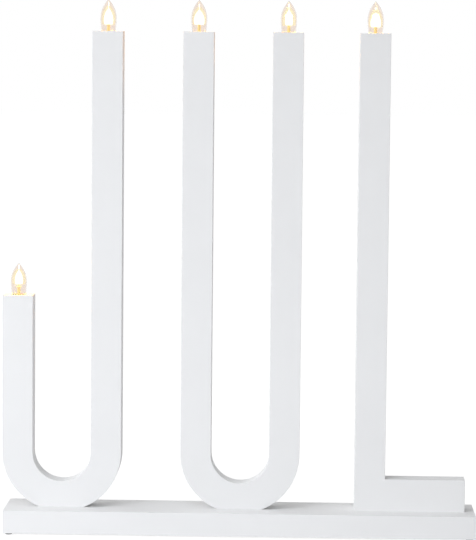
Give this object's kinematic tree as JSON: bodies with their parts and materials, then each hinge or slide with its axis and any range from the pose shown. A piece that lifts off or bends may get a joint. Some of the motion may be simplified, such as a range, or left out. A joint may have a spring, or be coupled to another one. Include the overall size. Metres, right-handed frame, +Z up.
{
  "type": "christmas candlestick",
  "caption": "Electric christmas candlestick: J, U and L shaped board uprights on a long flat base, with screw-in candle lamps on the arm ends.",
  "frame": {"origin": "on the floor under the middle of the whole outline, which is 1.5 mm left of the base board's middle because the J overhangs the base's left end", "axes": "+X along the base to the viewer's right, +Y to the back, +Z up along the uprights"},
  "size_m": [0.453, 0.066, 0.509],
  "materials": {
    "white_painted_board": "white satin paint on fibreboard",
    "hardboard": "bare hardboard",
    "grey_pad": "grey foam rubber",
    "zinc_screw": "zinc plated steel",
    "black_rubber": "moulded rubber",
    "holder_plastic": "moulded plastic",
    "brass": "drawn brass",
    "solder": "solder on a glass insulator",
    "lead_insulation": "soft plastic insulation",
    "lamp_glass": "clear blown glass, lit",
    "lamp_stem": "glass stem with a lit filament"
  },
  "bodies": {
    "stand": {"base_board": "white_painted_board", "j_upright": "white_painted_board", "u_upright": "white_painted_board", "l_upright": "white_painted_board", "j_strip": "white_painted_board", "u_strip": "white_painted_board", "l_strip": "white_painted_board", "base_cover": "hardboard", "pad_1": "grey_pad", "pad_2": "grey_pad", "pad_3": "grey_pad", "pad_4": "grey_pad", "screw_1": "zinc_screw", "screw_2": "zinc_screw", "screw_3": "zinc_screw", "screw_4": "zinc_screw", "screw_5": "zinc_screw", "screw_6": "zinc_screw", "cord_grommet": "black_rubber", "holder_1": "holder_plastic", "holder_2": "holder_plastic", "holder_3": "holder_plastic", "holder_4": "holder_plastic", "holder_5": "holder_plastic", "sleeve_1": "brass", "sleeve_2": "brass", "sleeve_3": "brass", "sleeve_4": "brass", "sleeve_5": "brass", "contact_1": "brass", "contact_2": "brass", "contact_3": "brass", "contact_4": "brass", "contact_5": "brass", "lead_1": "lead_insulation", "lead_2": "lead_insulation", "lead_3": "lead_insulation", "lead_4": "lead_insulation", "lead_5": "lead_insulation", "lead_6": "lead_insulation"},
    "lamp_1_tip": {"tip_1": "solder"},
    "lamp_1": {"glass_1": "lamp_glass", "cap_1": "brass", "stem_1": "lamp_stem"},
    "lamp_2_tip": {"tip_2": "solder"},
    "lamp_2": {"glass_2": "lamp_glass", "cap_2": "brass", "stem_2": "lamp_stem"},
    "lamp_3_tip": {"tip_3": "solder"},
    "lamp_3": {"glass_3": "lamp_glass", "cap_3": "brass", "stem_3": "lamp_stem"},
    "lamp_4_tip": {"tip_4": "solder"},
    "lamp_4": {"glass_4": "lamp_glass", "cap_4": "brass", "stem_4": "lamp_stem"},
    "lamp_5_tip": {"tip_5": "solder"},
    "lamp_5": {"glass_5": "lamp_glass", "cap_5": "brass", "stem_5": "lamp_stem"}
  },
  "joints": [
    {"name": "lamp_1_lift", "type": "slide", "parent": "stand", "child": "lamp_1_tip", "axis": [0, 0, 1], "range_m": [0, 0.00726]},
    {"name": "lamp_1_turn", "type": "hinge", "parent": "lamp_1_tip", "child": "lamp_1", "pos_m": [-0.2119, 0.002, 0.217], "axis": [0, 0, 1], "range_deg": [0, 1440]},
    {"name": "lamp_2_lift", "type": "slide", "parent": "stand", "child": "lamp_2_tip", "axis": [0, 0, 1], "range_m": [0, 0.00726]},
    {"name": "lamp_2_turn", "type": "hinge", "parent": "lamp_2_tip", "child": "lamp_2", "pos_m": [-0.127, 0.002, 0.469], "axis": [0, 0, 1], "range_deg": [0, 1440]},
    {"name": "lamp_3_lift", "type": "slide", "parent": "stand", "child": "lamp_3_tip", "axis": [0, 0, 1], "range_m": [0, 0.00726]},
    {"name": "lamp_3_turn", "type": "hinge", "parent": "lamp_3_tip", "child": "lamp_3", "pos_m": [-0.04095, 0.002, 0.469], "axis": [0, 0, 1], "range_deg": [0, 1440]},
    {"name": "lamp_4_lift", "type": "slide", "parent": "stand", "child": "lamp_4_tip", "axis": [0, 0, 1], "range_m": [0, 0.00726]},
    {"name": "lamp_4_turn", "type": "hinge", "parent": "lamp_4_tip", "child": "lamp_4", "pos_m": [0.04395, 0.002, 0.469], "axis": [0, 0, 1], "range_deg": [0, 1440]},
    {"name": "lamp_5_lift", "type": "slide", "parent": "stand", "child": "lamp_5_tip", "axis": [0, 0, 1], "range_m": [0, 0.00726]},
    {"name": "lamp_5_turn", "type": "hinge", "parent": "lamp_5_tip", "child": "lamp_5", "pos_m": [0.126, 0.002, 0.469], "axis": [0, 0, 1], "range_deg": [0, 1440]}
  ],
  "couplings": [
    {"joint": "lamp_1_lift", "follows": "lamp_1_turn", "m_per_rad": 0.00028875},
    {"joint": "lamp_2_lift", "follows": "lamp_2_turn", "m_per_rad": 0.00028875},
    {"joint": "lamp_3_lift", "follows": "lamp_3_turn", "m_per_rad": 0.00028875},
    {"joint": "lamp_4_lift", "follows": "lamp_4_turn", "m_per_rad": 0.00028875},
    {"joint": "lamp_5_lift", "follows": "lamp_5_turn", "m_per_rad": 0.00028875}
  ]
}
